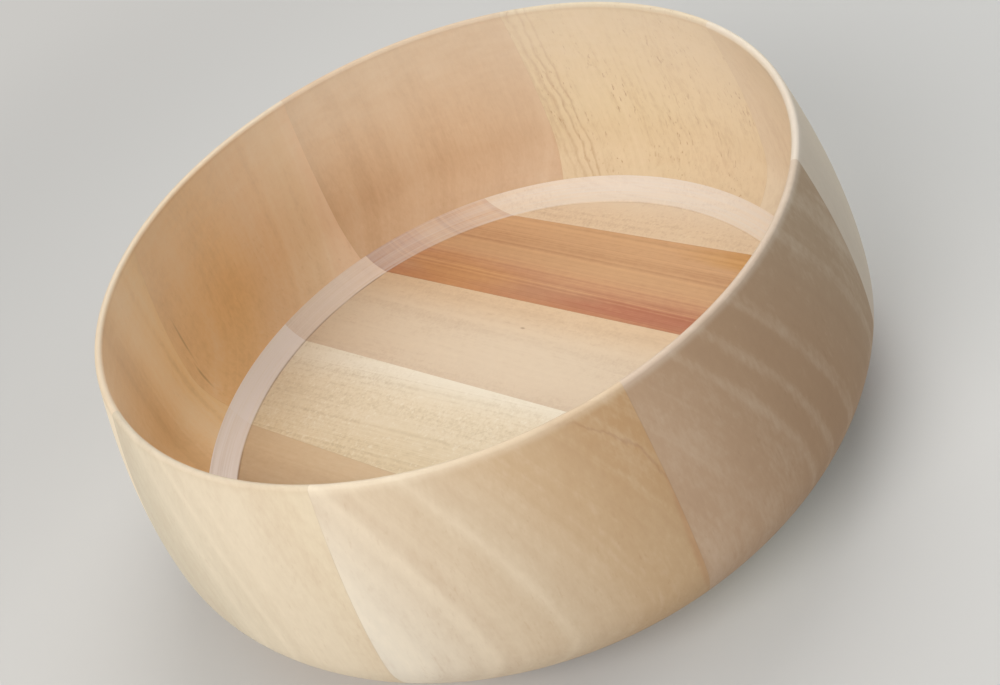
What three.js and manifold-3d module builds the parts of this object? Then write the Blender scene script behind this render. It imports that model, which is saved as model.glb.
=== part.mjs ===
// A round salad bowl of pale wood. Eight upright staves, glued edge to edge, make the wall. It stands on
// the edge of a round board of six strips, and wall and board are turned together, inside and out.
// Millimetres and degrees. +Z is up and the origin is the centre of the face that the bowl rests on.

import * as THREE from 'three';
import { mergeVertices } from 'three/addons/utils/BufferGeometryUtils.js';
import Module from 'manifold-3d';

// Driving dimensions of the turned shape
const height = 119; // from the table to the top of the rim
const rimDiameter = 272; // outside of the rim
const bellyDiameter = 300; // the widest part of the wall
const bellyHeight = 44; // height of the widest part
const footDiameter = 180; // the flat that the bowl rests on
const wallThickness = 4.2; // at the wall's foot, square to the surface
const rimThickness = 3; // the wall thins evenly from its foot to the rim
const upperCurve = 1.7; // power of the wall's curve above the belly, 1 is a straight slope

// Driving dimensions of the board
const boardThickness = 23; // at the edge, where the wall stands on it
const floorHeight = 14.5; // of the floor inside the bowl, above the table
const coveWidth = 8.9; // of the hollow that leads from the floor up to the wall
const coveDepth = 1.1; // of the hollow below a straight slope
const stripWidth = 53;
const stripCount = 6;
const middleJoint = -1; // distance of the board's middle joint from the bowl's centre
const grainAngle = -51; // direction of the strips, from +X

// Driving dimensions of the staves
const firstJoint = 16; // direction of the first joint of the wall, from +X
const staveWidths = [46, 46, 44, 45, 43, 43, 47, 46]; // in shares of the full turn

const glueGap = 0.3; // between pieces that are glued together

// Fineness of the curves
const stepsAround = 72;
const stepsUpperWall = 9;
const stepsLowerWall = 4;
const stepsRim = 6;
const stepsCove = 4;
const stepsFoot = 6;

const deg = Math.PI / 180;
const rimRadius = rimDiameter / 2;
const bellyRadius = bellyDiameter / 2;
const footRadius = footDiameter / 2;
const wallFoot = boardThickness + glueGap; // height of the staves' lower ends
const rimHeight = roundingStart();

// Height where the rim's rounding starts, square to the leaning wall, for a rounding that ends at the full
// height. The lean depends on the height itself, so the two settle in a few rounds.
function roundingStart() {
  let start = height;
  for (let i = 0; i < 20; i++) {
    const slope = ((bellyRadius - rimRadius) * upperCurve) / (start - bellyHeight);
    start = height - (rimThickness / 2) * (1 - slope / Math.hypot(1, slope));
  }
  return start;
}

// Outside of the bowl at a height, with the direction that faces out of the wood: a power curve from the
// belly up to the rim, and a quarter of an ellipse from the belly down to the foot
function outside(z) {
  if (z >= bellyHeight) {
    const rise = rimHeight - bellyHeight;
    const inwards = bellyRadius - rimRadius;
    const share = (z - bellyHeight) / rise;
    const slope = (inwards * upperCurve * share ** (upperCurve - 1)) / rise;
    const point = new THREE.Vector2(bellyRadius - inwards * share ** upperCurve, z);
    return { point, normal: new THREE.Vector2(1, slope).normalize() };
  }
  const across = bellyRadius - footRadius;
  const share = (bellyHeight - z) / bellyHeight;
  const reach = Math.sqrt(Math.max(0, 1 - share * share));
  const point = new THREE.Vector2(footRadius + across * reach, z);
  return { point, normal: new THREE.Vector2(reach / across, -share / bellyHeight).normalize() };
}

// Thickness of the wall where its outside is at a height
function thickness(z) {
  const share = (z - boardThickness) / (rimHeight - boardThickness);
  return THREE.MathUtils.lerp(wallThickness, rimThickness, THREE.MathUtils.clamp(share, 0, 1));
}

// Inside of the wall, square to the outside
function inside(z) {
  const { point, normal } = outside(z);
  return point.clone().addScaledVector(normal, -thickness(z));
}

// Inside radius of the wall at the height of the point itself, found by halving
function insideRadius(z) {
  let low = 0;
  let high = height;
  for (let i = 0; i < 40; i++) {
    const middle = (low + high) / 2;
    if (inside(middle).y < z) low = middle;
    else high = middle;
  }
  return inside(low).x;
}

// Heights of the wall's points, from its foot up to the rounding by way of the belly
function wallHeights() {
  const list = [];
  for (let i = 0; i < stepsLowerWall; i++) {
    list.push(wallFoot + ((bellyHeight - wallFoot) * i) / stepsLowerWall);
  }
  for (let i = 0; i <= stepsUpperWall; i++) {
    list.push(bellyHeight + ((rimHeight - bellyHeight) * i) / stepsUpperWall);
  }
  return list;
}

// Section of the wall: up the outside, over the rounded rim, down the inside and back along its foot
function wallSection() {
  const up = wallHeights().map((z) => outside(z).point);
  const start = outside(rimHeight);
  const rimCentre = start.point.clone().addScaledVector(start.normal, -rimThickness / 2);
  const over = [];
  for (let i = 1; i <= stepsRim; i++) {
    const turn = (180 * deg * i) / stepsRim; // the middle one is the top of the rim
    const out = new THREE.Vector2(Math.cos(turn), Math.sin(turn));
    if (turn > start.normal.angle()) over.push(rimCentre.clone().addScaledVector(out, rimThickness / 2));
  }
  const down = wallHeights().reverse().map(inside).filter((point) => point.y > wallFoot + glueGap);
  const foot = new THREE.Vector2(insideRadius(wallFoot), wallFoot);
  return [...up, ...over, ...down, foot, up[0].clone()];
}

// Section of the board: out along the foot, up the outside, in along the edge that carries the wall, down
// the cove and back along the floor
function boardSection() {
  const out = [new THREE.Vector2(0, 0)];
  for (let i = 0; i <= stepsFoot; i++) {
    out.push(outside(boardThickness * (i / stepsFoot) ** 2).point); // closer together where it lies flat
  }
  const coveTop = new THREE.Vector2(insideRadius(wallFoot), boardThickness);
  const coveFoot = new THREE.Vector2(coveTop.x - coveWidth, floorHeight);
  const hollow = coveFoot.clone().sub(coveTop).normalize().rotateAround(new THREE.Vector2(), 90 * deg);
  const cove = [];
  for (let i = 0; i <= stepsCove; i++) {
    const share = i / stepsCove;
    const deep = 4 * coveDepth * share * (1 - share);
    cove.push(coveTop.clone().lerp(coveFoot, share).addScaledVector(hollow, deep));
  }
  return [...out, ...cove, new THREE.Vector2(0, floorHeight)];
}

// Solids are cut and joined as closed meshes
const wasm = await Module();
wasm.setup();

function toSolid(geometry) {
  const bare = geometry.clone();
  bare.deleteAttribute('normal');
  bare.deleteAttribute('uv');
  const merged = mergeVertices(bare);
  const vertProperties = new Float32Array(merged.attributes.position.array);
  const triVerts = new Uint32Array(merged.index.array);
  return new wasm.Manifold(new wasm.Mesh({ numProp: 3, vertProperties, triVerts }));
}

function toGeometry(solid) {
  const mesh = solid.getMesh();
  const geometry = new THREE.BufferGeometry();
  geometry.setAttribute('position', new THREE.BufferAttribute(mesh.vertProperties, 3));
  geometry.setIndex(new THREE.BufferAttribute(mesh.triVerts, 1));
  geometry.computeVertexNormals();
  return geometry;
}

// A section turned about the bowl's axis
function turned(section) {
  return toSolid(new THREE.LatheGeometry(section, stepsAround).rotateX(90 * deg));
}

// The room that one stave takes: a wedge between two joints, each drawn in by half the glue gap
function staveRoom(from, to) {
  const middle = (from + to) / 2;
  const half = (to - from) / 2;
  const far = 2 * Math.max(bellyRadius, rimRadius);
  const tip = glueGap / 2 / Math.sin(half * deg);
  const apex = new THREE.Vector2(tip, 0);
  const side = new THREE.Vector2(Math.cos(half * deg), Math.sin(half * deg)).multiplyScalar(far);
  const corners = [apex, new THREE.Vector2(tip + side.x, -side.y), new THREE.Vector2(tip + side.x, side.y)];
  const wedge = new THREE.ExtrudeGeometry(new THREE.Shape(corners), { depth: height, bevelEnabled: false });
  return toSolid(wedge.translate(0, 0, 1).rotateZ(middle * deg));
}

// The room that one strip takes across the board, the outer two running out to its edge
function stripRoom(from, to) {
  const long = 4 * Math.max(bellyRadius, footRadius);
  const wide = to - from - glueGap;
  const slab = new THREE.BoxGeometry(long, wide, 4 * boardThickness);
  return toSolid(slab.translate(0, (from + to) / 2, 0).rotateZ(grainAngle * deg));
}

function wood(color, roughness) {
  return new THREE.MeshStandardMaterial({ color, roughness, metalness: 0 });
}

function piece(name, solid, material) {
  const mesh = new THREE.Mesh(toGeometry(solid), material);
  mesh.name = name;
  return mesh;
}

// Staves, numbered round from the first joint towards +Y
const staveWoods = [
  wood(0xe6cfa6, 0.6), // pale straw, with open pores
  wood(0xdcb592, 0.6), // pinkish tan
  wood(0xd2a679, 0.6), // warm tan
  wood(0xcfa074, 0.6), // orange tan
  wood(0xe9d3ac, 0.6), // cream
  wood(0xe4c69d, 0.6), // cream to honey
  wood(0xc9a887, 0.6), // greyed pink brown
  wood(0xdcbd99, 0.6), // plain beige
];

function makeWall() {
  const wall = new THREE.Group();
  const ring = turned(wallSection());
  const shares = staveWidths.reduce((sum, width) => sum + width, 0);
  let from = firstJoint;
  staveWidths.forEach((width, i) => {
    const to = from + (360 * width) / shares;
    wall.add(piece(`wall_stave_${i + 1}`, ring.intersect(staveRoom(from, to)), staveWoods[i]));
    from = to;
  });
  return wall;
}

// Strips, numbered from the one furthest back
const stripWoods = [
  wood(0xe7d0a4, 0.6), // pale straw
  wood(0xcf9361, 0.6), // orange brown
  wood(0xdfbe9b, 0.6), // pinkish beige
  wood(0xe9d5aa, 0.6), // pale, flecked
  wood(0xd3a57b, 0.6), // pink tan
  wood(0xdab88f, 0.6), // light tan
];

function makeBase() {
  const base = new THREE.Group();
  const board = turned(boardSection());
  const edge = 2 * Math.max(bellyRadius, footRadius);
  for (let i = 0; i < stripCount; i++) {
    const upper = i === 0 ? edge : middleJoint + stripWidth * (stripCount / 2 - i);
    const lower = i === stripCount - 1 ? -edge : middleJoint + stripWidth * (stripCount / 2 - i - 1);
    base.add(piece(`base_strip_${i + 1}`, board.intersect(stripRoom(lower, upper)), stripWoods[i]));
  }
  return base;
}

const bowl = new THREE.Group();
bowl.add(makeBase(), makeWall());

export default bowl;
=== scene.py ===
import math

import bmesh
import bpy
import numpy as np
from mathutils import Matrix, Vector


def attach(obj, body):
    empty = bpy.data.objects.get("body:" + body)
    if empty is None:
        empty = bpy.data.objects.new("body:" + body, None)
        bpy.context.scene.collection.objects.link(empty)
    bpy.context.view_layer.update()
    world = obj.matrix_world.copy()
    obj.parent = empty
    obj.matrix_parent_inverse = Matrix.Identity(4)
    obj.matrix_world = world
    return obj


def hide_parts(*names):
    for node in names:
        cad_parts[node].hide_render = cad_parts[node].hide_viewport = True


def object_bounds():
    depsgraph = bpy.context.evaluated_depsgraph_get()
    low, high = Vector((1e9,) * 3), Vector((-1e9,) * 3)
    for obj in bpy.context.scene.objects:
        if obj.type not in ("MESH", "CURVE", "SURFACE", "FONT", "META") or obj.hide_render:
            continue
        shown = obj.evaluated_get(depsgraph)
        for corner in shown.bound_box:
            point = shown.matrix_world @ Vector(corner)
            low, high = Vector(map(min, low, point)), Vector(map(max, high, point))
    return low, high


# A round salad bowl of bare wood: eight upright staves glued into a wall, which stands on a round board of
# six strips. Lengths are millimetres and angles are degrees, unless a note says otherwise.

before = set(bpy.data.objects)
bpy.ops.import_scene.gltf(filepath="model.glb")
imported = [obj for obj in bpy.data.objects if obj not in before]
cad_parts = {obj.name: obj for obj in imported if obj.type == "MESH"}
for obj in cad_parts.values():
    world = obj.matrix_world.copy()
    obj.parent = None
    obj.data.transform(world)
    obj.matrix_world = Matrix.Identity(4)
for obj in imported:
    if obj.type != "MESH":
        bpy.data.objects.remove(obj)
cadLow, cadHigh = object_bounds()
mm = 0.001
print("frame loaded:", len(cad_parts), "pieces of wood")

bowl = {
    "height": cadHigh.z / mm,
    "bellyRadius": cadHigh.x / mm,
    "bellyHeight": 44,
    "rimRadius": 136,
    "footRadius": 90,
    "wall": 4.2,  # thickness at the wall's foot, square to the surface
    "rim": 3.0,  # thickness at the rim
    "upperCurve": 1.7,  # power of the wall's curve above the belly
    "glueLine": 0.02,  # between two glued pieces
    "crease": 28,  # an edge that turns by more than this stays crisp
}

board = {
    "edgeHeight": 23,  # where the wall stands on the board
    "edgeRow": 2,  # a row of points this far in from the edge, under the wall
    "floorHeight": 14.5,
    "coveWidth": 8.9,
    "coveDepth": 1.1,
    "quirkWidth": 0.9,  # the fine groove that the cove's cutter left at the edge of the floor
    "quirkDepth": 0.3,
    "stripWidth": 53,
    "stripCount": 6,
    "middleJoint": -1,
    "grainAngle": -51,  # of the strips, from +X
}

wall = {
    "firstJoint": 16,  # direction of the first joint, from +X
    "staveWidths": [46, 46, 44, 45, 43, 43, 47, 46],  # shares of the full turn
    "grainRadius": 143,  # where the grain coordinates of a stave start, from the axis
    "grainHeight": 60,
}


# The turned shape

def roundingStart():
    # Height at which the rim's rounding begins, so that the rounding ends at the bowl's full height. The
    # wall's lean depends on that height in turn, so the two settle in a few rounds.
    inwards = bowl["bellyRadius"] - bowl["rimRadius"]
    start = bowl["height"]
    for _ in range(20):
        slope = inwards * bowl["upperCurve"] / (start - bowl["bellyHeight"])
        start = bowl["height"] - bowl["rim"] / 2 * (1 - slope / math.hypot(1, slope))
    return start


rimStart = roundingStart()


def outside(z):
    # Radius and outward direction of the outside at height z: a power curve from the belly to the rim, and
    # a quarter of an ellipse from the belly down to the foot
    z = np.asarray(z, float)
    belly = bowl["bellyHeight"]
    power = bowl["upperCurve"]
    rise = rimStart - belly
    inwards = bowl["bellyRadius"] - bowl["rimRadius"]
    across = bowl["bellyRadius"] - bowl["footRadius"]
    up = np.clip((z - belly) / rise, 0, None)
    down = np.clip((belly - z) / belly, 0, 1)
    reach = np.sqrt(1 - down ** 2)
    above = z >= belly
    upper = bowl["bellyRadius"] - inwards * up ** power
    radius = np.where(above, upper, bowl["footRadius"] + across * reach)
    lean = np.where(above, inwards * power * up ** (power - 1) / rise, -down / belly)
    level = np.where(above, 1, reach / across)
    return radius, np.stack([level, lean], -1) / np.hypot(level, lean)[..., None]


def inside(z):
    # Points of the wall's inside, square to the outside at height z. The wall thins evenly towards the rim.
    radius, facing = outside(z)
    thick = np.interp(z, [board["edgeHeight"], rimStart], [bowl["wall"], bowl["rim"]])
    return np.stack([radius, z], -1) - thick[..., None] * facing


def insideRadius(z, steps=400):
    # Read off a close row of inside points, which goes on a little below the wall's foot
    points = inside(np.linspace(rimStart, 0.6 * board["edgeHeight"], steps))
    return float(np.interp(z, points[::-1, 1], points[::-1, 0]))


coveTop = np.array([insideRadius(board["edgeHeight"]), board["edgeHeight"]])
coveFoot = np.array([coveTop[0] - board["coveWidth"], board["floorHeight"]])
coveSlack = 0.01  # keeps the cove's own end points in it
boardRadius = float(outside(board["edgeHeight"])[0])


def coveSection(steps=16, quirkSteps=9):
    # From the floor up to the wall: a groove shaped as one arch of a sine, then a straight slope that a
    # parabola hollows, coveDepth deep in its middle
    turn = np.linspace(0, math.pi, quirkSteps)
    quirk = np.stack([
        coveFoot[0] - board["quirkWidth"] * (1 - turn / math.pi),
        board["floorHeight"] - board["quirkDepth"] * np.sin(turn),
    ], -1)
    share = np.linspace(0, 1, steps)[:, None]
    along = coveTop - coveFoot
    square = np.array([along[1], -along[0]]) / np.hypot(*along)
    hollow = coveFoot + along * share + square * 4 * board["coveDepth"] * share * (1 - share)
    return np.concatenate([quirk, hollow[1:]])


def staveSection(lowSteps=16, highSteps=34, rimSteps=25, footStep=0.4):
    # Closed section of the wall: up the outside, half a circle over the rim, down the inside and back along
    # its foot. Its zone is 0 on the outside and 1 on the inside, and rises evenly over the rim.
    foot = board["edgeHeight"] + bowl["glueLine"]
    low = np.linspace(foot, bowl["bellyHeight"], lowSteps)[:-1]
    high = np.linspace(bowl["bellyHeight"], rimStart, highSteps)
    heights = np.concatenate([low, high])
    up = np.stack([outside(heights)[0], heights], -1)
    radius, facing = outside(rimStart)
    centre = np.array([radius, rimStart]) - bowl["rim"] / 2 * facing
    lean = math.atan2(facing[1], facing[0])
    turn = np.linspace(lean, lean + math.pi, rimSteps)[1:-1]
    over = centre + bowl["rim"] / 2 * np.stack([np.cos(turn), np.sin(turn)], -1)
    down = inside(heights[::-1])
    down = down[down[:, 1] > foot + footStep]
    last = np.array([[insideRadius(foot), foot]])
    zone = np.concatenate([np.zeros(len(up)), np.linspace(0, 1, len(over)), np.ones(len(down) + 1)])
    return np.concatenate([up, over, down, last]), zone


# Meshes

def solidFromSections(name, sections, zone, weld=False):
    # A closed body from an array of closed sections, laid side by side, with a flat end on the first and
    # last. zone holds one number a point, which the mesh keeps as an attribute: 1 in a strip's cove and on
    # a stave's inside.
    count, around = sections.shape[:2]
    index = np.arange(count * around).reshape(count, around)
    right = np.roll(index, -1, axis=1)
    quads = np.stack([index[:-1], right[:-1], right[1:], index[1:]], -1).reshape(-1, 4)
    faces = quads.tolist() + [index[0, ::-1].tolist(), index[-1].tolist()]
    mesh = bpy.data.meshes.new(name)
    mesh.from_pydata(sections.reshape(-1, 3) * mm, [], faces)
    values = mesh.attributes.new("zone", "FLOAT", "POINT").data
    values.foreach_set("value", zone.astype(np.float32).ravel())
    shape = bmesh.new()
    shape.from_mesh(mesh)
    if weld:
        bmesh.ops.remove_doubles(shape, verts=shape.verts, dist=1e-7)
        bmesh.ops.dissolve_degenerate(shape, edges=shape.edges, dist=1e-8)
    if shape.calc_volume(signed=True) < 0:
        bmesh.ops.reverse_faces(shape, faces=shape.faces)
    shape.to_mesh(mesh)
    shape.free()
    mesh.shade_smooth()
    mesh.set_sharp_from_angle(angle=math.radians(bowl["crease"]))
    piece = bpy.data.objects.new(name, mesh)
    bpy.context.scene.collection.objects.link(piece)
    return piece


def makeStave(name, start, end, steps=44):
    # The wall's section carried round the axis. Each side is drawn in by half a glue line.
    section, zone = staveSection()
    radius = section[:, 0][None, :]
    drawnIn = np.arcsin(bowl["glueLine"] / 2 / radius)
    share = np.linspace(0, 1, steps + 1)[:, None]
    turn = math.radians(start) + drawnIn + share * (math.radians(end - start) - 2 * drawnIn)
    height = np.broadcast_to(section[:, 1], turn.shape)
    sections = np.stack([radius * np.cos(turn), radius * np.sin(turn), height], -1)
    return solidFromSections(name, sections, np.broadcast_to(zone, turn.shape))


def undersideHeight(radius):
    # Height of the board's rounded underside above the table
    reach = np.clip((radius - bowl["footRadius"]) / (bowl["bellyRadius"] - bowl["footRadius"]), 0, 1)
    return bowl["bellyHeight"] * (1 - np.sqrt(1 - reach ** 2))


def toBoard(along, across, height):
    # From the strips' own directions to the bowl's
    turn = math.radians(board["grainAngle"])
    x = along * math.cos(turn) - across * math.sin(turn)
    y = along * math.sin(turn) + across * math.cos(turn)
    return np.stack([x, y, height], -1)


def makeCrossStrip(name, low, high, rows=26, floorSteps=26, underSteps=70):
    # A strip whose both ends run out to the board's edge. Each row across the strip is one closed section:
    # in from the edge, down the cove, over the floor and up again, then back along the underside.
    across = np.linspace(low, high, rows)[:, None]
    cove = coveSection()[::-1]
    radii = np.concatenate([[boardRadius, boardRadius - board["edgeRow"]], cove[:, 0]])
    heights = np.concatenate([[board["edgeHeight"]] * 2, cove[:, 1]])
    ends = np.sqrt(radii ** 2 - across ** 2)
    floor = np.linspace(1, -1, floorSteps)[1:-1] * ends[:, -1:]
    under = np.sin(np.linspace(-1, 1, underSteps)[1:-1] * math.pi / 2) * ends[:, :1]
    along = np.concatenate([ends, floor, -ends[:, ::-1], under], 1)
    flat = np.full(floor.shape[1], board["floorHeight"])
    above = np.concatenate([heights, flat, heights[::-1]])
    above = np.broadcast_to(above, (rows, len(above)))
    height = np.concatenate([above, undersideHeight(np.hypot(under, across))], 1)
    sections = toBoard(along, np.broadcast_to(across, along.shape), height)
    cut = np.concatenate([[0, 0], np.where(cove[:, 0] > coveFoot[0] - coveSlack, 1, 0)])
    zone = np.concatenate([cut, np.zeros(floor.shape[1]), cut[::-1], np.zeros(under.shape[1])])
    return solidFromSections(name, sections, np.broadcast_to(zone, along.shape))


def makeEdgeStrip(name, inner, side, steps=76, floorSteps=12, underSteps=30):
    # One of the two outer strips: all of the board past one chord. Each section runs out from the middle of
    # the chord over the floor and up the cove, and back underneath, and turns from one end to the other.
    cove = coveSection()
    floor = np.linspace(inner, cove[0, 0], floorSteps)[:-1]
    out = np.concatenate([floor, cove[:, 0], [boardRadius - board["edgeRow"], boardRadius]])
    flat = np.full(len(floor), board["floorHeight"])
    outHeights = np.concatenate([flat, cove[:, 1], [board["edgeHeight"]] * 2])
    quarter = np.linspace(0, 1, underSteps)[1:] * math.pi / 2
    back = inner + (boardRadius - inner) * np.cos(quarter)
    radii = np.concatenate([out, back])
    heights = np.concatenate([outHeights, undersideHeight(back)])
    share = np.linspace(-1, 1, steps + 1)[:, None]
    turn = share * np.arccos(np.clip(inner / radii, -1, 1))
    along = radii * np.sin(turn)
    across = side * radii * np.cos(turn)
    sections = toBoard(along, across, np.broadcast_to(heights, along.shape))
    inCove = (radii > coveFoot[0] - coveSlack) & (radii < coveTop[0] + coveSlack)
    zone = inCove & (np.arange(len(radii)) < len(out))
    return solidFromSections(name, sections, np.broadcast_to(zone, along.shape), weld=True)


# Shader nodes

def newNode(tree, kind, **settings):
    node = tree.nodes.new(kind)
    for key, value in settings.items():
        setattr(node, key, value)
    return node


def feed(tree, socket, value):
    # A socket takes either another node's output or a plain value
    if isinstance(value, bpy.types.NodeSocket):
        tree.links.new(value, socket)
    elif value is not None:
        socket.default_value = value


def calc(tree, operation, *values, clamp=False):
    node = newNode(tree, "ShaderNodeMath", operation=operation, use_clamp=clamp)
    for socket, value in zip(node.inputs, values):
        feed(tree, socket, value)
    return node.outputs[0]


def vector(tree, operation, *values, output=0):
    node = newNode(tree, "ShaderNodeVectorMath", operation=operation)
    for socket, value in zip(node.inputs, values):
        feed(tree, socket, value)
    return node.outputs[output]


def scaled(tree, value, factor):
    return vector(tree, "SCALE", value, None, None, factor)


def length(tree, value):
    return vector(tree, "LENGTH", value, output=1)


def smooth(tree, value, low, high, toLow=0.0, toHigh=1.0):
    # Soft step of a value between two limits
    node = newNode(tree, "ShaderNodeMapRange", interpolation_type="SMOOTHSTEP")
    for socket, item in zip(node.inputs, [value, low, high, toLow, toHigh]):
        feed(tree, socket, item)
    return node.outputs[0]


def fadeOut(tree, value, reach):
    # 1 where the value is zero, 0 from its reach on
    return smooth(tree, value, 0.0, reach, 1.0, 0.0)


def between(tree, value, low, high):
    # A value between two limits as a share from 0 to 1, cut off at both
    node = newNode(tree, "ShaderNodeMapRange", clamp=True)
    for socket, item in zip(node.inputs, [value, low, high, 0.0, 1.0]):
        feed(tree, socket, item)
    return node.outputs[0]


def blendColour(tree, amount, first, second):
    node = newNode(tree, "ShaderNodeMix", data_type="RGBA", blend_type="MIX", clamp_factor=True)
    feed(tree, node.inputs[0], amount)
    feed(tree, node.inputs[6], first)
    feed(tree, node.inputs[7], second)
    return node.outputs[2]


def ramp(tree, value, stops):
    node = newNode(tree, "ShaderNodeValToRGB")
    node.color_ramp.interpolation = "EASE"
    feed(tree, node.inputs[0], value)
    elements = node.color_ramp.elements
    while len(elements) < len(stops):
        elements.new(0.5)
    for element, (position, colour) in zip(elements, stops):
        element.position = position
        element.color = colour
    return node.outputs[0]


def tint(code):
    # A colour written as on a paint chart, as the linear values that a shader takes
    parts = [int(code[i:i + 2], 16) / 255 for i in (0, 2, 4)]
    return (*[p / 12.92 if p <= 0.04045 else ((p + 0.055) / 1.055) ** 2.4 for p in parts], 1)


# Cells of noise in a metre, along the grain, across it and into it, then detail and roughness. The cells of
# the height masks for painted light and shade and of the groove's uneven painted shade are along the bowl's
# own axes.
noises = {
    "drift": ((5, 15, 15), 1.5, 0.5),  # of the rings
    "ripple": ((55, 60, 60), 2.0, 0.5),  # of the rings
    "streak": ((7, 150, 150), 3.0, 0.6),
    "fibre": ((90, 900, 900), 3.0, 0.6),
    "cloud": ((28, 60, 60), 4.0, 0.6),
    "mottle": ((260, 420, 420), 2.0, 0.6),
    "curl": ((800, 620, 620), 2.0, 0.6),
    "curlPatch": ((16, 40, 40), 1.0, 0.5),
    "pore": ((190, 750, 750), 2.0, 0.6),
    "poreCrowd": ((25, 60, 60), 1.0, 0.5),
    "fleck": ((700, 480, 480), 1.0, 0.5),
    "stainEdge": ((25, 160, 160), 3.0, 0.6),
    "wear": ((60, 60, 200), 3.0, 0.6),
    "dust": ((40, 40, 40), 2.0, 0.5),
}

# Noise between which spots of these kinds fade in
spotLimits = {
    "curlPatch": (0.30, 0.55), "pore": (0.60, 0.74), "poreCrowd": (0.35, 0.65), "fleck": (0.60, 0.74),
    "dust": (0.35, 0.60),
}


def noise(tree, place, kind):
    cells, detail, roughness = noises[kind]
    node = newNode(tree, "ShaderNodeTexNoise", noise_dimensions="3D")
    feed(tree, node.inputs["Vector"], vector(tree, "MULTIPLY", place, cells))
    feed(tree, node.inputs["Scale"], 1.0)
    feed(tree, node.inputs["Detail"], detail)
    feed(tree, node.inputs["Roughness"], roughness)
    return node.outputs[0]


def swing(tree, place, kind):
    # The same noise, above and below zero
    return calc(tree, "SUBTRACT", noise(tree, place, kind), 0.5)


def spots(tree, place, kind, *heights):
    return smooth(tree, noise(tree, place, kind), *spotLimits[kind], *heights)


def movedOn(tree, grain, seed, step):
    # Each seed reads the noise at a place of its own, so that no two pieces are alike
    return vector(tree, "ADD", grain, scaled(tree, step, seed))


def newGroup(name, inputs, outputs):
    tree = bpy.data.node_groups.new(name, "ShaderNodeTree")
    kinds = {"value": "NodeSocketFloat", "vector": "NodeSocketVector", "colour": "NodeSocketColor"}
    for way, sockets in (("INPUT", inputs), ("OUTPUT", outputs)):
        for label, kind in sockets.items():
            tree.interface.new_socket(name=label, in_out=way, socket_type=kinds[kind])
    return tree, newNode(tree, "NodeGroupInput").outputs, newNode(tree, "NodeGroupOutput").inputs


def useGroup(tree, name, **values):
    # One copy of a group in a material, with its own values. Its sockets have spaces where the keys have
    # capitals.
    node = newNode(tree, "ShaderNodeGroup", node_tree=groups[name])
    for key, value in values.items():
        label = "".join(" " + c.lower() if c.isupper() else c for c in key).strip().capitalize()
        feed(tree, node.inputs[label], value)
    return node.outputs


def makeGrowthRings():
    # Distance from the heart of the tree, in metres and in years' rings. Grain coordinates have x along the
    # grain, y across the piece and z into its thickness.
    tree, given, result = newGroup("growth rings", {
        "Grain": "vector", "Heart across": "value", "Heart depth": "value", "Ring width": "value",
        "Wander": "value", "Ripple": "value", "Taper": "value", "Seed": "value",
    }, {"Depth": "value", "Rings": "value"})

    def distance(first, second):
        squares = [calc(tree, "POWER", value, 2.0) for value in (first, second)]
        return calc(tree, "SQRT", calc(tree, "ADD", *squares))

    parts = newNode(tree, "ShaderNodeSeparateXYZ")
    feed(tree, parts.inputs[0], given["Grain"])
    across = calc(tree, "SUBTRACT", parts.outputs[1], given["Heart across"])
    depth = calc(tree, "SUBTRACT", parts.outputs[2], given["Heart depth"])
    away = distance(across, depth)
    total = calc(tree, "SUBTRACT", away, distance(given["Heart across"], given["Heart depth"]))
    moved = movedOn(tree, given["Grain"], given["Seed"], (0.31, 0.17, 0.23))
    for kind, amount in (("drift", "Wander"), ("ripple", "Ripple")):
        strength = calc(tree, "MULTIPLY", given[amount], 2.0)
        total = calc(tree, "MULTIPLY_ADD", swing(tree, moved, kind), strength, total)
    total = calc(tree, "MULTIPLY_ADD", parts.outputs[0], given["Taper"], total)
    feed(tree, result["Depth"], total)
    feed(tree, result["Rings"], calc(tree, "DIVIDE", total, given["Ring width"]))
    return tree


surface = {
    "clouds": 0.3,  # how far the broad cloudy unevenness goes
    "lineStep": 7.3,  # rings that a seed moves the fine lines by
    "lineDetail": 3.0,
    "lineRoughness": 0.65,
    "roughness": 0.6,
    "streakRoughness": 0.1,
    "poreRoughness": 0.1,
    "gloss": 0.35,  # the shader's specular level
    "bumpStrength": 0.35,
    "bumpDepth": 0.12,
    "fibreRelief": 0.6,  # this and the rest are shares of the bump's depth
    "poreRelief": 3.0,
    "figureRelief": 0.5,
    "mottleRelief": 0.5,
    "curlRelief": 0.4,
    "turningRelief": 0.35,
}


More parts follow.
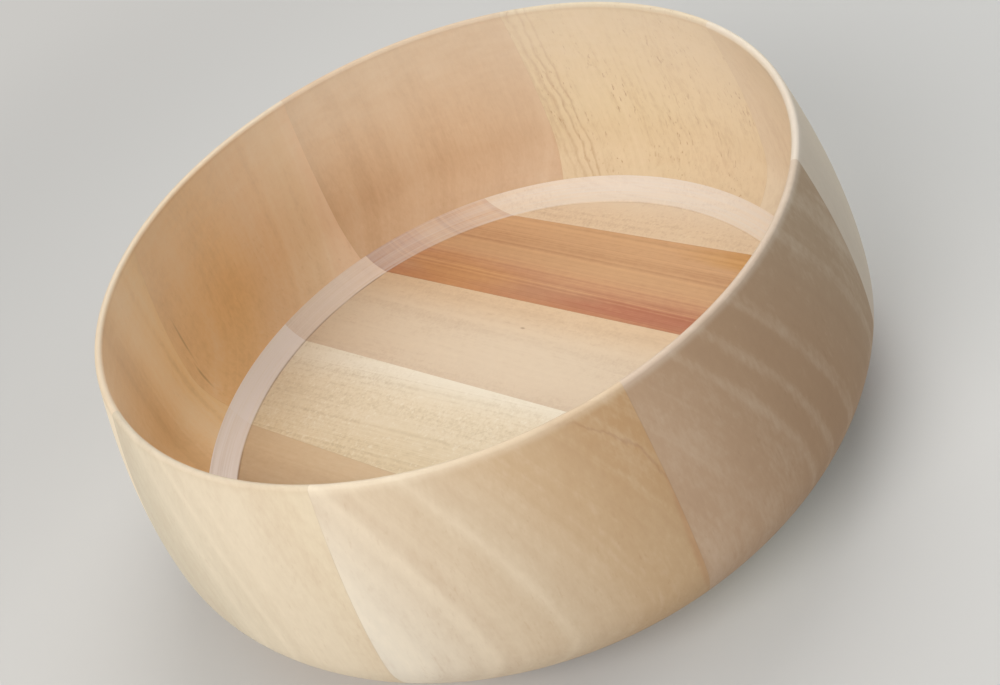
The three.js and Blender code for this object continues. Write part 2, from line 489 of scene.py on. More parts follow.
def makeBareWood():
    # The wood's own drawing over a ground colour. figure is 0.5 where nothing is drawn, higher on pale bands
    # and lower on dark ones. Fine lines follow the rings; streaks, fibres, pores and curl follow the grain.
    tree, given, result = newGroup("bare wood", {
        "Grain": "vector", "Rings": "value", "Figure": "value", "Ground": "colour", "Dark": "colour",
        "Pale": "colour", "Lines": "value", "Streaks": "value", "Fibres": "value", "Pores": "value",
        "Flecks": "value", "Curl": "value", "Mottle": "value", "Seed": "value",
    }, {"Colour": "colour", "Height": "value", "Roughness": "value"})
    moved = movedOn(tree, given["Grain"], given["Seed"], (0.27, 0.41, 0.13))

    # Fine lines: noise of many widths over the count of rings
    line = newNode(tree, "ShaderNodeTexNoise", noise_dimensions="1D")
    along = calc(tree, "MULTIPLY_ADD", given["Seed"], surface["lineStep"], given["Rings"])
    feed(tree, line.inputs["W"], along)
    line.inputs["Scale"].default_value = 1.0
    line.inputs["Detail"].default_value = surface["lineDetail"]
    line.inputs["Roughness"].default_value = surface["lineRoughness"]
    fine = calc(tree, "MULTIPLY", calc(tree, "SUBTRACT", line.outputs[0], 0.5), given["Lines"])

    # Streaks a few millimetres wide, fibres under one millimetre, and cloudy unevenness. Curl is short fine
    # ripples across the grain, in patches.
    streak = swing(tree, moved, "streak")
    fibre = swing(tree, moved, "fibre")
    mottle = swing(tree, moved, "mottle")
    curl = calc(tree, "MULTIPLY", swing(tree, moved, "curl"), spots(tree, moved, "curlPatch"))
    total = calc(tree, "ADD", calc(tree, "SUBTRACT", given["Figure"], 0.5), fine)
    total = calc(tree, "MULTIPLY_ADD", streak, given["Streaks"], total)
    total = calc(tree, "MULTIPLY_ADD", fibre, given["Fibres"], total)
    total = calc(tree, "MULTIPLY_ADD", swing(tree, moved, "cloud"), surface["clouds"], total)
    total = calc(tree, "MULTIPLY_ADD", mottle, given["Mottle"], total)
    total = calc(tree, "MULTIPLY_ADD", curl, given["Curl"], total)
    paler = calc(tree, "MAXIMUM", total, 0.0)
    darker = calc(tree, "MAXIMUM", calc(tree, "MULTIPLY", total, -1.0), 0.0)
    colour = blendColour(tree, paler, given["Ground"], given["Pale"])
    colour = blendColour(tree, darker, colour, given["Dark"])

    # Pores: fine dark dashes. Flecks: small pale spots where the rays of the wood meet the surface.
    dash = calc(tree, "MULTIPLY", spots(tree, moved, "pore"), spots(tree, moved, "poreCrowd"))
    fleck = spots(tree, moved, "fleck")
    colour = blendColour(tree, calc(tree, "MULTIPLY", dash, given["Pores"]), colour, given["Dark"])
    colour = blendColour(tree, calc(tree, "MULTIPLY", fleck, given["Flecks"]), colour, given["Pale"])

    poreRelief = calc(tree, "MULTIPLY", given["Pores"], surface["poreRelief"])
    curlRelief = calc(tree, "MULTIPLY", given["Curl"], surface["curlRelief"])
    height = calc(tree, "MULTIPLY", fibre, surface["fibreRelief"])
    height = calc(tree, "SUBTRACT", height, calc(tree, "MULTIPLY", dash, poreRelief))
    height = calc(tree, "MULTIPLY_ADD", total, surface["figureRelief"], height)
    height = calc(tree, "MULTIPLY_ADD", mottle, surface["mottleRelief"], height)
    height = calc(tree, "MULTIPLY_ADD", curl, curlRelief, height)
    rough = calc(tree, "MULTIPLY_ADD", streak, surface["streakRoughness"], surface["roughness"])
    rough = calc(tree, "MULTIPLY_ADD", dash, surface["poreRoughness"], rough)
    feed(tree, result["Colour"], colour)
    feed(tree, result["Height"], height)
    feed(tree, result["Roughness"], rough)
    return tree


turning = {
    "fine": 1500.0,  # cells of noise in a metre, up the bowl and out from its axis
    "around": 2.5,  # cells in a turn, so few that each mark runs on round the bowl
}


def makeTurningMarks():
    # Faint rings that turning and sanding leave around the bowl: noise drawn out along the turn
    tree, given, result = newGroup("turning marks", {"Place": "vector"}, {"Height": "value"})
    parts = newNode(tree, "ShaderNodeSeparateXYZ")
    feed(tree, parts.inputs[0], given["Place"])
    level = vector(tree, "MULTIPLY", given["Place"], (1, 1, 0))
    around = scaled(tree, vector(tree, "NORMALIZE", level), turning["around"])
    lift = newNode(tree, "ShaderNodeCombineXYZ")
    feed(tree, lift.inputs[2], calc(tree, "MULTIPLY", parts.outputs[2], turning["fine"]))
    node = newNode(tree, "ShaderNodeTexNoise", noise_dimensions="4D")
    feed(tree, node.inputs["Vector"], vector(tree, "ADD", around, lift.outputs[0]))
    feed(tree, node.inputs["W"], calc(tree, "MULTIPLY", length(tree, level), turning["fine"]))
    feed(tree, node.inputs["Scale"], 1.0)
    feed(tree, node.inputs["Detail"], 2.0)
    feed(tree, result["Height"], node.outputs[0])
    return tree


def makeGlueLines():
    # 1 on the hairline of glue at either side of a piece, 0 elsewhere. A side is the plane where the place
    # measured along its direction is its offset.
    tree, given, result = newGroup("glue lines", {
        "Place": "vector", "First side": "vector", "First offset": "value", "Second side": "vector",
        "Second offset": "value", "Width": "value",
    }, {"Mask": "value"})
    masks = []
    for side in ("First", "Second"):
        along = vector(tree, "DOT_PRODUCT", given["Place"], given[side + " side"], output=1)
        away = calc(tree, "ABSOLUTE", calc(tree, "SUBTRACT", along, given[side + " offset"]))
        masks.append(fadeOut(tree, away, given["Width"]))
    feed(tree, result["Mask"], calc(tree, "MAXIMUM", *masks))
    return tree


def makeStain():
    # A patch of other colour with a ragged edge: the mask is 1 inside and 0 past its reach, and goes from
    # one to the other over its softness, a share of the reach. The edge is the thin line round the patch.
    tree, given, result = newGroup("stain", {
        "Grain": "vector", "Centre": "vector", "Reach": "vector", "Ragged": "value", "Softness": "value",
        "Edge width": "value", "Seed": "value",
    }, {"Mask": "value", "Edge": "value"})
    away = vector(tree, "DIVIDE", vector(tree, "SUBTRACT", given["Grain"], given["Centre"]), given["Reach"])
    moved = movedOn(tree, given["Grain"], given["Seed"], (0.11, 0.37, 0.29))
    far = calc(tree, "MULTIPLY_ADD", swing(tree, moved, "stainEdge"), given["Ragged"], length(tree, away))
    firm = calc(tree, "SUBTRACT", 1.0, given["Softness"])
    feed(tree, result["Mask"], smooth(tree, far, firm, 1.0, 1.0, 0.0))
    offEdge = calc(tree, "ABSOLUTE", calc(tree, "SUBTRACT", far, 1.0))
    feed(tree, result["Edge"], fadeOut(tree, offEdge, given["Edge width"]))
    return tree


def makePaintedLightAndWear():
    # A mask for painted light and shade that come with height, partly also paling from handling: 0 at one
    # height and 1 at the other, whichever is higher, times 0.6 to 1.4 as its noise has it
    tree, given, result = newGroup("wear", {
        "Place": "vector", "Start": "value", "End": "value",
    }, {"Mask": "value"})
    parts = newNode(tree, "ShaderNodeSeparateXYZ")
    feed(tree, parts.inputs[0], given["Place"])
    worn = smooth(tree, parts.outputs[2], given["Start"], given["End"])
    uneven = calc(tree, "MULTIPLY_ADD", noise(tree, given["Place"], "wear"), 0.8, 0.6)
    feed(tree, result["Mask"], calc(tree, "MULTIPLY", worn, uneven, clamp=True))
    return tree


def makeGroove():
    # A mask for the groove's painted shade: 1 in the round groove at the edge of the floor, fading out over
    # its width, and uneven on its way round.
    # Below the floor it fades out too, so that none shows on the underside.
    tree, given, result = newGroup("groove", {
        "Place": "vector", "Radius": "value", "Width": "value", "Floor": "value",
    }, {"Mask": "value"})
    parts = newNode(tree, "ShaderNodeSeparateXYZ")
    feed(tree, parts.inputs[0], given["Place"])
    radius = length(tree, vector(tree, "MULTIPLY", given["Place"], (1, 1, 0)))
    away = calc(tree, "ABSOLUTE", calc(tree, "SUBTRACT", radius, given["Radius"]))
    line = fadeOut(tree, away, given["Width"])
    above = smooth(tree, calc(tree, "SUBTRACT", parts.outputs[2], given["Floor"]), -2 * mm, -1 * mm)
    uneven = spots(tree, given["Place"], "dust", 0.4, 1.0)
    feed(tree, result["Mask"], calc(tree, "MULTIPLY", calc(tree, "MULTIPLY", line, above), uneven))
    return tree


groups = {
    "rings": makeGrowthRings(),
    "wood": makeBareWood(),
    "marks": makeTurningMarks(),
    "glue": makeGlueLines(),
    "stain": makeStain(),
    "wear": makePaintedLightAndWear(),
    "groove": makeGroove(),
}
print("shader groups made:", ", ".join(groups))


# Materials

ringSpan = 64  # tones and bands lie between -ringSpan and +ringSpan from the middle of a piece
bandsPerRamp = 10  # a ramp holds up to 32 stops, three to a band

glue = {"width": 0.2, "amount": 0.15, "colour": "8f6a45"}

groove = {
    "colour": "86644c",  # painted shade in the fine groove
    "streaks": 0.8,  # how far the cutter's streaks lighten and darken the cove
}

# Height masks for painted light and shade: the inside paler towards the rim, partly also from handling,
# darker towards its foot, and the rim's edge with its own painted shade and highlight
wear = {
    "inside": "f2e7d3",  # painted light: the inside pales towards the rim, partly also from handling
    "insideFrom": bowl["bellyHeight"],
    "insideTo": bowl["height"] + 2,
    "outsideAmount": 0.05,  # painted light: the outside pales a little too
    "foot": "b98658",  # painted shade: the inside darkens towards its foot
    "footFrom": 62,
    "footTo": 22,
    "edgeFrom": bowl["height"] - 3.5,  # painted shade on the rim's edge, and a painted highlight on some woods
    "edgeTo": bowl["height"] - 0.3,
    "outsideZone": (0.6, 0.95),  # the zone over which the outside's colour goes
}


def figureStops(bands):
    # Grey stops for a ramp over ring distance: the sum of soft bands, each with its place, width and
    # strength. A band is a bell curve, and 2.77 makes it half as strong at half its width from its middle.
    at = np.array(sorted({p + w * side for p, w, _ in bands for side in (-1, 0, 1)}))
    value = 0.5 + 0.5 * sum(s * np.exp(-2.77 * ((at - p) / w) ** 2) for p, w, s in bands)
    return [(0.5 + 0.5 * a / ringSpan, (v, v, v, 1)) for a, v in zip(at.tolist(), value.tolist())]


def grainPlace(tree, spot, along, across, origin):
    # Grain coordinates: the bowl's own, measured from the origin and turned to lie along the grain
    turn = Matrix((along, across, along.cross(across)))
    mapping = newNode(tree, "ShaderNodeMapping", vector_type="POINT")
    feed(tree, mapping.inputs["Vector"], spot)
    mapping.inputs["Rotation"].default_value = turn.to_euler()
    mapping.inputs["Location"].default_value = -(turn @ (origin * mm))
    return mapping.outputs[0]


def drawWood(tree, wood, grain):
    # The ground colour and the bands by distance from the heart, then the stains, then the fine drawing
    rings = useGroup(
        tree, "rings", Grain=grain, HeartAcross=wood["heart"][0] * mm, HeartDepth=wood["heart"][1] * mm,
        RingWidth=wood["ringWidth"] * mm, Wander=wood["wander"] * mm, Ripple=wood["ripple"] * mm,
        Taper=wood["taper"], Seed=wood["seed"],
    )
    level = between(tree, rings["Depth"], -ringSpan * mm, ringSpan * mm)
    ground = ramp(tree, level, [(0.5 + 0.5 * at / ringSpan, tint(code)) for at, code in wood["tones"]])
    figure = 0.5
    for i in range(0, len(wood["bands"]), bandsPerRamp):
        drawing = ramp(tree, level, figureStops(wood["bands"][i:i + bandsPerRamp]))
        figure = calc(tree, "ADD", figure, calc(tree, "SUBTRACT", drawing, 0.5))
    masks = []
    for i, given in enumerate(wood["stains"]):
        stain = {**plainStain, **given}
        patch = useGroup(
            tree, "stain", Grain=grain, Centre=[c * mm for c in stain["centre"]],
            Reach=[r * mm for r in stain["reach"]], Ragged=stain["ragged"], Softness=stain["softness"],
            EdgeWidth=stain["edgeWidth"], Seed=wood["seed"] + i,
        )
        masks.append(patch["Mask"])
        amount = calc(tree, "MULTIPLY", patch["Mask"], stain["amount"])
        ground = blendColour(tree, amount, ground, tint(stain["colour"]))
        edge = calc(tree, "MULTIPLY", patch["Edge"], stain["edge"])
        if "within" in stain:
            edge = calc(tree, "MULTIPLY", edge, masks[stain["within"]])
        ground = blendColour(tree, edge, ground, tint(wood["dark"]))
    return useGroup(
        tree, "wood", Grain=grain, Rings=rings["Rings"], Figure=figure, Ground=ground,
        Dark=tint(wood["dark"]), Pale=tint(wood["pale"]), Lines=wood["lines"], Streaks=wood["streaks"],
        Fibres=wood["fibres"], Pores=wood["pores"], Flecks=wood["flecks"], Curl=wood["curl"],
        Mottle=wood["mottle"], Seed=wood["seed"],
    )


def finishCove(tree, wood, colour, spot, zone, marks):
    # The cove is paler and greyer, in streaks along its way: partly where the cutter crossed the grain, and
    # partly painted light that lifts the shade at the wall's foot
    code, amount = wood["cove"]
    streaked = calc(tree, "MULTIPLY_ADD", calc(tree, "SUBTRACT", marks, 0.5), groove["streaks"], amount)
    colour = blendColour(tree, calc(tree, "MULTIPLY", zone, streaked, clamp=True), colour, tint(code))
    # Painted shade in the fine groove at the floor's edge, uneven on its way round
    grooveShade = useGroup(
        tree, "groove", Place=spot, Radius=(coveFoot[0] - board["quirkWidth"] / 2) * mm,
        Width=board["quirkWidth"] * mm, Floor=board["floorHeight"] * mm,
    )["Mask"]
    return blendColour(tree, calc(tree, "MULTIPLY", grooveShade, wood["groove"]), colour, tint(groove["colour"]))


def finishStave(tree, wood, colour, spot, zone):
    # The outside's own colour, the inside's painted light towards the rim and painted shade towards its
    # foot, and the rim's edge with its painted shade and highlight
    def worn(part):
        start = wear[part + "From"] * mm
        return useGroup(tree, "wear", Place=spot, Start=start, End=wear[part + "To"] * mm)["Mask"]

    outer = smooth(tree, zone, *wear["outsideZone"], 1.0, 0.0)
    code, amount = wood["outside"]
    colour = blendColour(tree, calc(tree, "MULTIPLY", outer, amount), colour, tint(code))
    # Painted light: the inside, and a little of the outside, pales towards the rim, partly also from
    # handling
    reach = calc(tree, "MULTIPLY_ADD", zone, wood["worn"], wear["outsideAmount"])
    colour = blendColour(tree, calc(tree, "MULTIPLY", worn("inside"), reach), colour, tint(wear["inside"]))
    # Painted shade: the inside darkens towards its foot, by the board
    reach = calc(tree, "MULTIPLY", zone, wood["foot"])
    colour = blendColour(tree, calc(tree, "MULTIPLY", worn("foot"), reach), colour, tint(wear["foot"]))
    # Painted shade on the rim's edge where its colour is darker, a painted highlight where it is paler
    code, amount = wood["rim"]
    return blendColour(tree, calc(tree, "MULTIPLY", worn("edge"), amount), colour, tint(code))


def woodMaterial(name, wood, along, across, origin, sides, cove=False):
    # along and across are the grain's directions, origin the point where the grain coordinates are zero, and
    # sides the two glued faces, each a direction and its offset
    material = bpy.data.materials.new(name)
    material.use_nodes = True
    tree = material.node_tree
    shader = tree.nodes["Principled BSDF"]
    spot = newNode(tree, "ShaderNodeTexCoord").outputs["Object"]
    zone = newNode(tree, "ShaderNodeAttribute", attribute_name="zone").outputs["Fac"]
    drawn = drawWood(tree, wood, grainPlace(tree, spot, along, across, origin))
    marks = useGroup(tree, "marks", Place=spot)["Height"]
    (firstSide, firstOffset), (secondSide, secondOffset) = sides
    glued = useGroup(
        tree, "glue", Place=spot, FirstSide=firstSide, FirstOffset=firstOffset * mm, SecondSide=secondSide,
        SecondOffset=secondOffset * mm, Width=glue["width"] * mm,
    )["Mask"]
    glued = calc(tree, "MULTIPLY", glued, glue["amount"])
    colour = blendColour(tree, glued, drawn["Colour"], tint(glue["colour"]))
    if cove:
        colour = finishCove(tree, wood, colour, spot, zone, marks)
    else:
        colour = finishStave(tree, wood, colour, spot, zone)
    feed(tree, shader.inputs["Base Color"], colour)
    feed(tree, shader.inputs["Roughness"], drawn["Roughness"])
    shader.inputs["Specular IOR Level"].default_value = surface["gloss"]
    bump = newNode(tree, "ShaderNodeBump")
    bump.inputs["Strength"].default_value = surface["bumpStrength"]
    bump.inputs["Distance"].default_value = surface["bumpDepth"] * mm
    relief = calc(tree, "MULTIPLY_ADD", marks, surface["turningRelief"], drawn["Height"])
    feed(tree, bump.inputs["Height"], relief)
    feed(tree, shader.inputs["Normal"], bump.outputs[0])
    return material


# The woods. heart is where the tree's heart lay, across the piece and into the bowl from its face. tones are
# the ground colour and bands the broad pale and dark bands (place, width, strength), both at distances from
# the middle of the piece, square to the rings; on staves 3, 4, 7 and 8 the tones also carry painted light
# and shade. stains are patches, each with its centre and reach (along, across, deep), colour and amount.
# cove, outside and rim are a colour and how far it goes, there only: the cove's is partly painted light, the
# rim's painted shade where darker and a painted highlight where paler, and stave 8's outside painted shade
# and sheen.

plainWood = {
    "heart": (60, 130), "ringWidth": 2.5, "wander": 0.7, "ripple": 0.15, "taper": 0.0, "dark": "9c6c42",
    "pale": "f3e4cb", "lines": 0.18, "streaks": 0.12, "fibres": 0.16, "pores": 0.12, "flecks": 0.0,
    "curl": 0.0, "mottle": 0.25, "stains": [], "cove": ("f4eae4", 0.85), "groove": 0.5,
    "outside": ("e3d2b8", 0.0), "worn": 0.32, "foot": 0.0, "rim": ("b08d68", 0.3),
}

plainStain = {"ragged": 0.9, "softness": 0.8, "edge": 0.0, "edgeWidth": 0.1}

staveWoods = [
    {  # pale straw with fine wavy dark lines and open pores
        "heart": (-106, -84), "taper": -0.089, "ripple": 3.2, "seed": 1.0, "pores": 0.6, "lines": 0.4,
        "mottle": 0.4, "worn": 0.56, "foot": 0.22, "fibres": 0.3,
        "tones": [(-28, "e5d5b6"), (10, "e2d2b0"), (50, "e0d0af")],
        "bands": [(-14, 2.4, -0.16), (-8, 2.4, -0.14), (-3.5, 3, 0.1), (-1, 2, -0.12), (4, 3, 0.1),
                  (7, 4, -0.1), (14, 7, 0.2), (26, 7, 0.15), (36, 3, 0.12), (38.2, 1.1, -0.5),
                  (39.8, 2, 0.15), (42.2, 1.0, -0.6), (44, 2, 0.16), (46.2, 1.1, -0.6), (48.2, 2, 0.12),
                  (50.2, 1.2, -0.45)],
    },
    {  # pinkish tan, nearly plain
        "heart": (-86, 54), "taper": 0.115, "seed": 2.0, "worn": 0.46, "foot": 0.26, "fibres": 0.24,
        "tones": [(-48, "d4bb9e"), (0, "d8bb9a"), (46, "dab995")],
        "bands": [(-47, 3, 0.25), (-33, 3, -0.1), (-26, 4, -0.08), (-9, 6, 0.08), (-1, 10, -0.12),
                  (12, 8, 0.2), (21, 5, -0.08), (32, 5, -0.3), (38, 4, 0.1), (46, 5, -0.15)],
    },
    {  # warm tan, orange in the middle, with fine pale stripes and two cracks at one side
        # The tones are raised as painted light against the shade on this stave's inside; the outside takes a
        # paler colour of its own.
        "heart": (179, -223), "taper": -0.126, "seed": 3.0, "outside": ("e8d9bf", 0.75),
        "tones": [(-28, "e9c292"), (-8, "ecbf87"), (10, "e6bf93"), (30, "e4c59f"), (43, "e6c5a3")],
        "bands": [(-21, 2.5, -0.15), (-16, 4, 0.12), (-8, 8, -0.15), (9, 6, 0.1), (17, 3, -0.12),
                  (19.5, 3, 0.2), (28, 2.4, 0.12), (31, 3, -0.12), (36, 4, 0.25), (43, 4, 0.2)],
        "stains": [
            {"centre": (0, 47.8, 6), "reach": (19, 0.8, 400), "colour": "85603f", "amount": 0.38},
            {"centre": (-22, 49.2, 6), "reach": (9, 0.8, 400), "colour": "85603f", "amount": 0.38},
        ],
    },
    {  # honey tan with a paler pink band
        # The tones are raised as painted light against the shade on this stave's inside; the outside takes a
        # paler colour of its own.
        "heart": (183, -271), "taper": 0.03, "seed": 4.0, "outside": ("e8d9bf", 0.85),
        "tones": [(-40, "ccb398"), (10, "dbb280"), (27, "edc999"), (45, "efc993")],
        "bands": [(12, 7, -0.25), (27, 9, 0.35), (35.5, 2.4, -0.2), (39, 4, 0.2), (46, 4, -0.25)],
    },
    {  # cream, with peach towards one side
        "heart": (93, 208), "taper": 0.011, "seed": 5.0, "lines": 0.22, "ripple": 0.5,
        "rim": ("b08d68", 0.12),
        "tones": [(-28, "d3c1a4"), (-10, "d1c0a6"), (18, "c7baa2")],
        "bands": [(-19, 7, -0.15), (-12, 5, 0.05), (-7, 2.8, 0.2), (-1, 2.2, 0.25), (5.5, 3, 0.25),
                  (14, 8, -0.1)],
    },
    {  # cream to honey, with a darker patch that a fine line rings
        "heart": (62, 126), "taper": -0.01, "seed": 6.0, "lines": 0.24, "ripple": 0.5,
        "rim": ("efe0c6", 0.3),
        "tones": [(-38, "b8966c"), (-26, "bd9a72"), (-14, "c3a37d"), (4, "ccb699"), (36, "d9cfbe")],
        "bands": [(-16, 7, -0.12), (-6, 2, 0.08), (-2, 5, -0.11), (3, 1.8, 0.3), (5, 1.4, -0.12),
                  (8, 4, -0.07), (9.5, 1.5, 0.1), (12, 3, -0.12), (14.5, 1.8, 0.32), (16.5, 1.4, -0.12),
                  (24, 3, 0.18), (26.5, 1.8, 0.3)],
        "stains": [
            {"centre": (56, 58, 0), "reach": (54, 40, 400), "colour": "b4854f", "amount": 0.5,
             "ragged": 0.4},
            {"centre": (16, 5, 0), "reach": (48.3, 48.3, 400), "colour": "a8824f", "amount": 0.0,
             "ragged": 0.14, "softness": 0.2, "edge": 0.55, "edgeWidth": 0.016, "within": 0},
            {"centre": (5, 54, -6), "reach": (60, 2, 400), "colour": "b0764a", "amount": 0.3,
             "ragged": 0.3},
        ],
    },
    {  # pink brown with pale bands, darkened and greyed as painted shade
        "heart": (80, 117), "taper": -0.065, "seed": 7.0, "mottle": 0.18, "ripple": 0.4,
        "dark": "8b6546", "pale": "ecdcc6", "rim": ("efdfce", 0.3),
        "tones": [(-34, "a5896a"), (0, "a88665"), (36, "ba9a7c")],
        "bands": [(-32, 5, 0.2), (-21, 3.3, 0.12), (-15, 2.5, -0.12), (-9, 3, -0.08), (-5, 1.8, -0.12),
                  (-3, 2.6, 0.22), (1, 5, -0.15), (5.5, 2.2, 0.14), (8.5, 3, -0.15), (10.2, 1.5, -0.1),
                  (11.7, 2.4, 0.22), (24, 3, 0.13), (36, 4, 0.2)],
    },
    {  # plain beige, greyed to one side and on the outside as painted shade and sheen
        "heart": (-120, 110), "ringWidth": 3.0, "seed": 8.0, "outside": ("c9b8a2", 0.5),
        "rim": ("efe4d8", 0.2),
        "tones": [(-40, "c6b6a3"), (-12, "cbbaa3"), (8, "dccaae"), (40, "e0d0b7")],
        "bands": [(-24, 6, 0.12), (-6, 4, -0.1), (12, 5, 0.12), (30, 5, -0.12)],
    },
]

stripHeart = (-400, 0)  # the strips are sawn square to the rings, so their lines run straight

stripWoods = [
    {  # pale straw
        "seed": 11.0, "lines": 0.3, "flecks": 0.3, "curl": 0.6, "pores": 0.05,
        "cove": ("e2dfdc", 0.35), "groove": 0.15,
        "tones": [(-26, "e8d2b6"), (26, "e4d9cc")],
        "bands": [(-20, 5, -0.1), (-9, 4, 0.1), (6, 4, -0.06)],
    },
    {  # orange brown with a red edge
        "taper": 0.02, "seed": 12.0, "lines": 0.9, "streaks": 0.4, "ringWidth": 2.0, "wander": 1.2,
        "mottle": 0.3, "dark": "96552c", "pale": "ecc795", "cove": ("e2dfdc", 0.4), "groove": 0.2,
        "tones": [(-27, "c28c68"), (-20, "c39372"), (-10, "c99875"), (0, "cfa57e"), (26, "d7ae86")],
        "bands": [(-22, 8, -0.05), (-1.5, 9, 0.3), (9.5, 5, -0.28), (18, 9, 0.2), (26.5, 3, -0.15)],
        "stains": [
            {"centre": (-78, -17, 0), "reach": (52, 15, 30), "colour": "d29c62", "amount": 0.55},
            {"centre": (72, 22, 0), "reach": (60, 9, 30), "colour": "cf9a52", "amount": 0.6},
            {"centre": (34, -20, 0), "reach": (74, 10, 30), "colour": "b0604a", "amount": 0.6},
        ],
    },
    {  # pinkish beige, with one small dark spot
        "taper": 0.01, "seed": 13.0, "curl": 0.3, "cove": ("f4e6de", 0.55),
        "tones": [(-26, "ddcab1"), (0, "e0ceb5"), (26, "e1c7a6")],
        "bands": [(-26, 4, -0.15), (-14, 10, 0.12), (4.5, 5, -0.12), (10, 5, 0.05), (20, 4, -0.18)],
        "stains": [
            {"centre": (-21, 11, 0), "reach": (1.7, 0.8, 4), "colour": "8d6546", "amount": 0.5,
             "ragged": 0.5},
        ],
    },
    {  # pale and flecked
        "taper": -0.06, "seed": 14.0, "curl": 0.8, "flecks": 0.3, "mottle": 0.4, "pores": 0.05,
        "lines": 0.55, "ringWidth": 1.6, "dark": "ab9163", "pale": "fdf6e6", "cove": ("f4eae4", 0.95),
        "tones": [(-26, "e7d5b3"), (10, "e9dabe"), (28, "efe6d2")],
        "bands": [(-22, 5, -0.2), (-9, 5, 0.15), (-5, 3, -0.12), (-1.5, 3, 0.1), (6, 6, -0.18),
                  (15, 4, 0.1), (19.5, 2.6, -0.1), (28, 6, 0.25)],
    },
    {  # pink tan
        "taper": -0.02, "seed": 15.0,
        "tones": [(-26, "9a7b5d"), (26, "dbc19d")],
        "bands": [(-14, 6, 0.08), (2, 5, -0.08), (14, 6, -0.12), (25, 5, 0.1)],
    },
    {  # light tan
        "seed": 16.0,
        "tones": [(-26, "dbb990"), (26, "dab88f")],
        "bands": [(-12, 6, 0.1), (4, 5, -0.1), (18, 5, 0.1)],
    },
]


# The bowl's pieces

def setOut(piece, node, material):
    piece.data.materials.append(material)
    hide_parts(node)
    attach(piece, "root")


def direction(angle):
    return Vector((math.cos(math.radians(angle)), math.sin(math.radians(angle)), 0))


def makeWall():
    start = wall["firstJoint"]
    shares = sum(wall["staveWidths"])
    for i, width in enumerate(wall["staveWidths"]):
        end = start + 360 * width / shares
        node = f"wall_stave_{i + 1}"
        middle = (start + end) / 2
        material = woodMaterial(
            "wood_" + node, {**plainWood, **staveWoods[i]}, along=Vector((0, 0, 1)),
            across=direction(middle + 90),
            origin=direction(middle) * wall["grainRadius"] + Vector((0, 0, wall["grainHeight"])),
            sides=[(direction(start + 90), 0), (direction(end + 90), 0)],
        )
        setOut(makeStave(f"stave_{i + 1}", start, end), node, material)
        start = end
    print("wall made:", len(wall["staveWidths"]), "staves")


def makeBoard():
    half = bowl["glueLine"] / 2
    last = board["stripCount"] - 1
    grain = direction(board["grainAngle"])
    across = direction(board["grainAngle"] + 90)
    for i in range(board["stripCount"]):
        high = board["middleJoint"] + board["stripWidth"] * (board["stripCount"] / 2 - i)
        low = high - board["stripWidth"]
        node = f"base_strip_{i + 1}"
        name = f"strip_{i + 1}"
        if i == 0:
            piece = makeEdgeStrip(name, low + half, 1)
        elif i == last:
            piece = makeEdgeStrip(name, -high + half, -1)
        else:
            piece = makeCrossStrip(name, low + half, high - half)
        material = woodMaterial(
            "wood_" + node, {**plainWood, "heart": stripHeart, **stripWoods[i]}, along=grain, across=across,
            origin=across * (low + high) / 2 + Vector((0, 0, board["floorHeight"])),
            sides=[(across, low), (across, high)], cove=True,
        )
        setOut(piece, node, material)
    print("board made:", board["stripCount"], "strips")


makeWall()
makeBoard()


# Floor, light and camera

studio = {
    "floor": "c9c7c3",
    "floorRoughness": 0.9,
    "floorGloss": 0.1,
    "floorHalf": 3.0,  # metres from the middle of the floor to its sides
    "backdrop": "cbc9c5",  # what the floor fades into, out of the lamps' reach
    "fade": (300, 760),  # distances from the bowl between which it does
    "worldStrength": 0.07,
    # name, direction and height above the level in degrees, power in watts, size in metres, colour
    "lamps": [
        ("front", 228, 34, 12.6, 0.9, (1, 1, 1)),
        ("above", 228, 88, 3.6, 1.2, (1, 1, 1)),
        ("behind", 60, 50, 7.8, 0.9, (1, 1, 1)),
        ("right", 345, 26, 4.0, 0.9, (0.78, 0.9, 1)),
    ],
    "distance": 1200,  # of the lamps from the point that they are aimed at
    "aim": 50,  # height of that point
}

camera = {
    "at": (2.6, -408.2, 376.9),
    "down": 39.33,  # below the level
    "roll": -24.24,
    "focal": 1293.5,  # in pixels of a picture 1000 wide
    "sensor": 36,
    "nearest": 10,
    "shift": 0.004,  # lifts the view, so that the rim clears the picture's edge
}


def seenDirectly(tree):
    # 1 for rays that come from the camera or from a mirror or glass, 0 for the light that falls on the bowl
    path = newNode(tree, "ShaderNodeLightPath").outputs
    seen = calc(tree, "MAXIMUM", path["Is Camera Ray"], path["Is Glossy Ray"])
    return calc(tree, "MAXIMUM", seen, path["Is Transmission Ray"])


def mixShaders(tree, amount, first, second, output):
    mix = newNode(tree, "ShaderNodeMixShader")
    feed(tree, mix.inputs[0], amount)
    for shader, socket in ((first, mix.inputs[1]), (second, mix.inputs[2])):
        tree.links.new(shader.outputs[0], socket)
    tree.links.new(mix.outputs[0], tree.nodes[output].inputs[0])


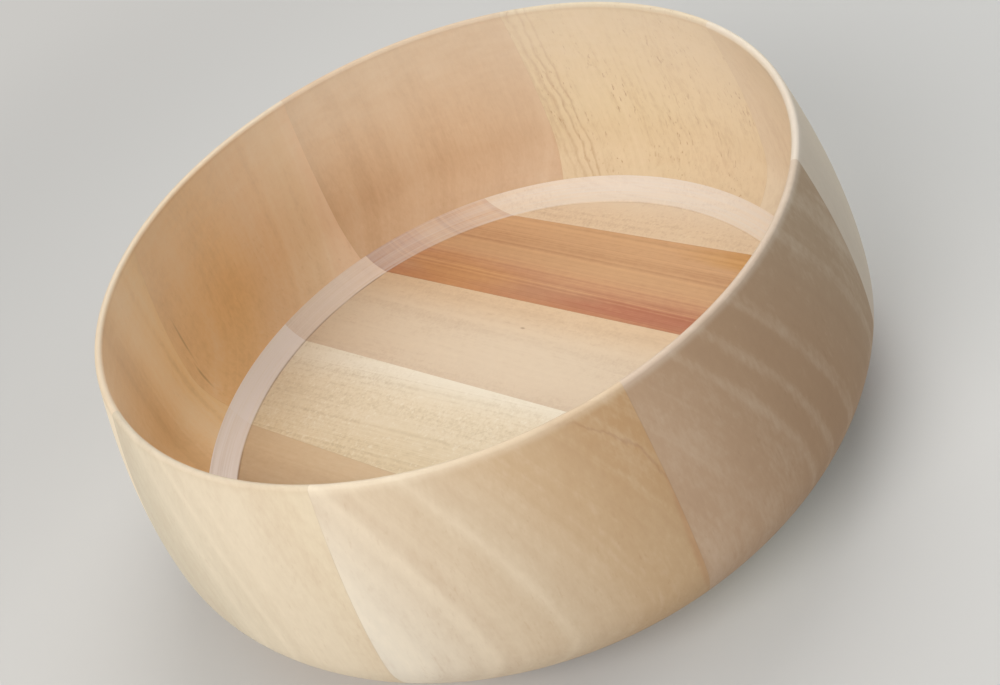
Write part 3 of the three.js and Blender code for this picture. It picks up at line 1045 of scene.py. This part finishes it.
def makeFloor():
    mesh = bpy.data.meshes.new("floor")
    half = studio["floorHalf"]
    corners = [(-half, -half, 0), (half, -half, 0), (half, half, 0), (-half, half, 0)]
    mesh.from_pydata(corners, [], [(0, 1, 2, 3)])
    floor = bpy.data.objects.new("floor", mesh)
    bpy.context.scene.collection.objects.link(floor)
    material = bpy.data.materials.new("floor")
    material.use_nodes = True
    tree = material.node_tree
    shader = tree.nodes["Principled BSDF"]
    shader.inputs["Base Color"].default_value = tint(studio["floor"])
    shader.inputs["Roughness"].default_value = studio["floorRoughness"]
    shader.inputs["Specular IOR Level"].default_value = studio["floorGloss"]
    spot = newNode(tree, "ShaderNodeTexCoord").outputs["Object"]
    far = smooth(tree, length(tree, spot), *[at * mm for at in studio["fade"]])
    plain = newNode(tree, "ShaderNodeEmission")
    plain.inputs["Color"].default_value = tint(studio["backdrop"])
    mixShaders(tree, calc(tree, "MULTIPLY", far, seenDirectly(tree)), shader, plain, "Material Output")
    mesh.materials.append(material)


def addLamp(name, turn, lift, power, size, colour):
    # A round soft lamp at the studio's distance, aimed at the middle of the bowl
    light = bpy.data.lights.new(name, "AREA")
    light.shape = "DISK"
    light.size = size
    light.energy = power
    light.color = colour
    lamp = bpy.data.objects.new(name, light)
    aim = Vector((0, 0, studio["aim"])) * mm
    level = math.cos(math.radians(lift))
    away = direction(turn) * level + Vector((0, 0, math.sin(math.radians(lift))))
    lamp.location = aim + away * studio["distance"] * mm
    lamp.rotation_euler = away.to_track_quat("Z", "Y").to_euler()
    bpy.context.scene.collection.objects.link(lamp)


def makeLight():
    world = bpy.data.worlds.new("studio")
    world.use_nodes = True
    tree = world.node_tree
    light = tree.nodes["Background"]
    light.inputs[0].default_value = (1, 1, 1, 1)
    light.inputs[1].default_value = studio["worldStrength"]
    backdrop = newNode(tree, "ShaderNodeBackground")
    backdrop.inputs[0].default_value = tint(studio["backdrop"])
    mixShaders(tree, seenDirectly(tree), light, backdrop, "World Output")
    bpy.context.scene.world = world
    for lamp in studio["lamps"]:
        addLamp(*lamp)


def makeCamera():
    data = bpy.data.cameras.new("camera")
    data.sensor_fit = "HORIZONTAL"
    data.sensor_width = camera["sensor"]
    data.lens = camera["focal"] / 1000 * camera["sensor"]
    data.clip_start = camera["nearest"] * mm
    data.shift_y = camera["shift"]
    viewer = bpy.data.objects.new("camera", data)
    tilt = Matrix.Rotation(math.radians(90 - camera["down"]), 4, "X")
    roll = Matrix.Rotation(math.radians(camera["roll"]), 4, "Z")
    viewer.matrix_world = Matrix.Translation(Vector(camera["at"]) * mm) @ tilt @ roll
    bpy.context.scene.collection.objects.link(viewer)
    bpy.context.scene.camera = viewer


makeFloor()
makeLight()
makeCamera()
bpy.context.scene.view_settings.view_transform = "Standard"
print("floor, light and camera placed")
